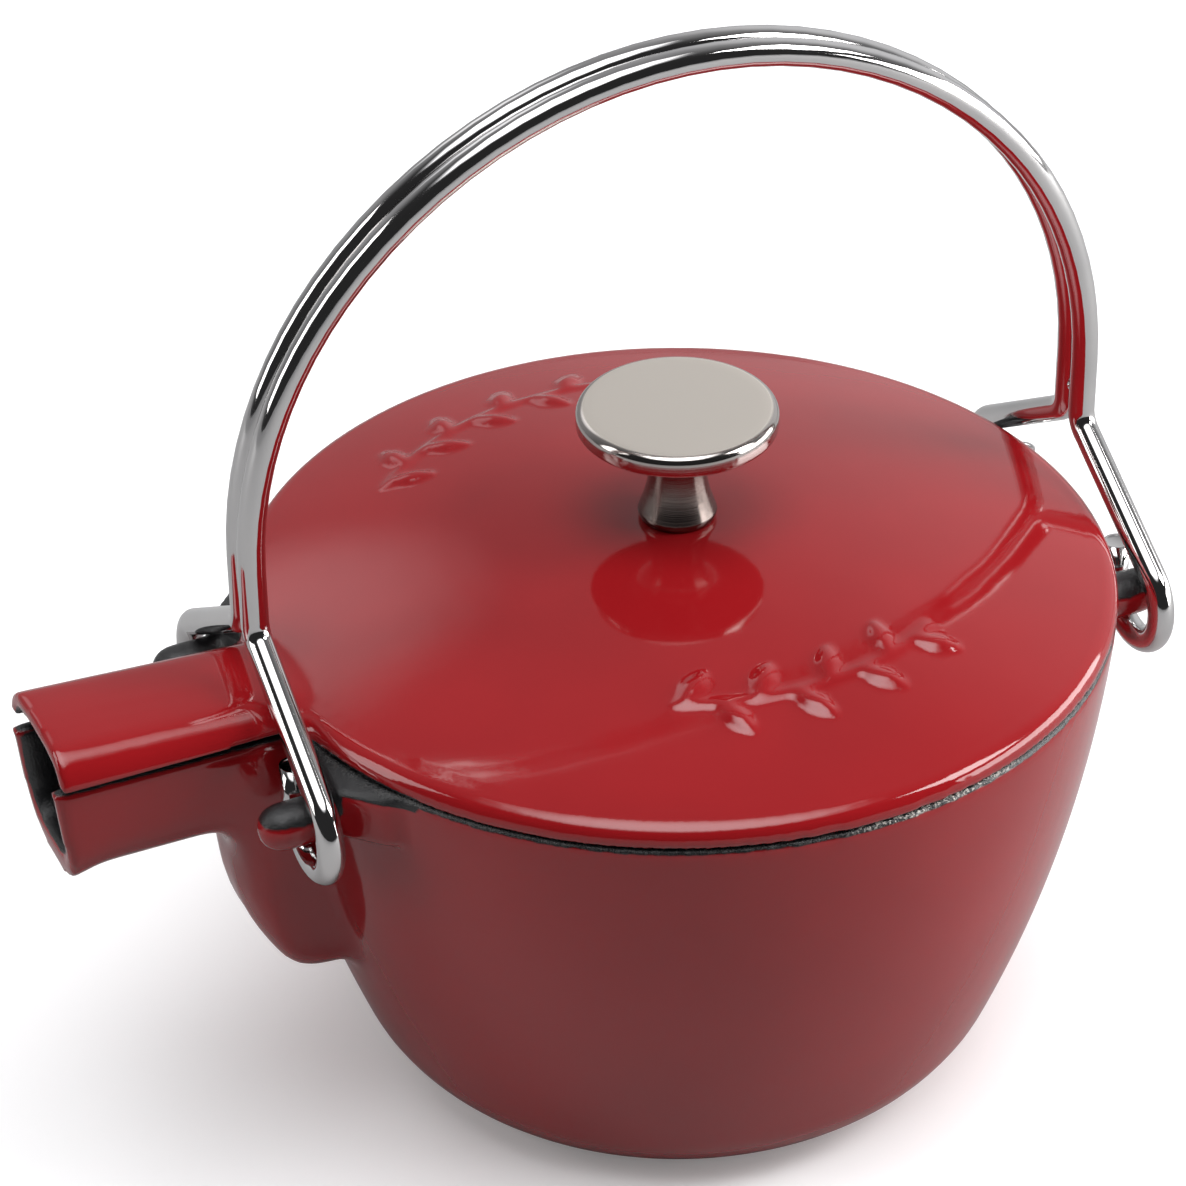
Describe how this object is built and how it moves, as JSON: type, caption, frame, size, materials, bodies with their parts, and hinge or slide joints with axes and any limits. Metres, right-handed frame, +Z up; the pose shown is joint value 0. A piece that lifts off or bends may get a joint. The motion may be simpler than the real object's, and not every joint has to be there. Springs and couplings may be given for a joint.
{
  "type": "stovetop kettle",
  "caption": "Enamelled cast-iron stovetop kettle: bowl with a half-open spout, domed lid with the spout's hood, turned metal knob and a twin-rod bail handle hooked on four pegs.",
  "frame": {"origin": "centre of the flat resting face under the bowl", "axes": "+Z up, +X towards the spout, +Y to the left of somebody who looks along the spout"},
  "size_m": [0.2148, 0.164, 0.2089],
  "materials": {
    "red_enamel": "glossy red glass enamel outside, matt black enamel inside and on the rim",
    "satin_nickel": "satin turned top with a polished edge",
    "screw_steel": "plain stainless",
    "chrome": "bright polished"
  },
  "bodies": {
    "kettle": {"kettle_body": "red_enamel"},
    "lid": {"lid": "red_enamel", "lid_knob": "satin_nickel", "knob_screw": "screw_steel", "spring_washer": "screw_steel", "flat_washer": "screw_steel"},
    "handle": {"handle_left_rod": "chrome", "handle_right_rod": "chrome", "handle_weld_beads": "chrome"}
  },
  "joints": [
    {"name": "lid_tilt", "type": "hinge", "parent": "kettle", "child": "lid", "pos_m": [0.1252, 0, 0.0972], "axis": [0, 1, 0], "range_deg": [0, 2.8]},
    {"name": "handle_lift", "type": "slide", "parent": "kettle", "child": "handle", "axis": [0, 0, 1], "range_m": [0, 0.0026]}
  ]
}
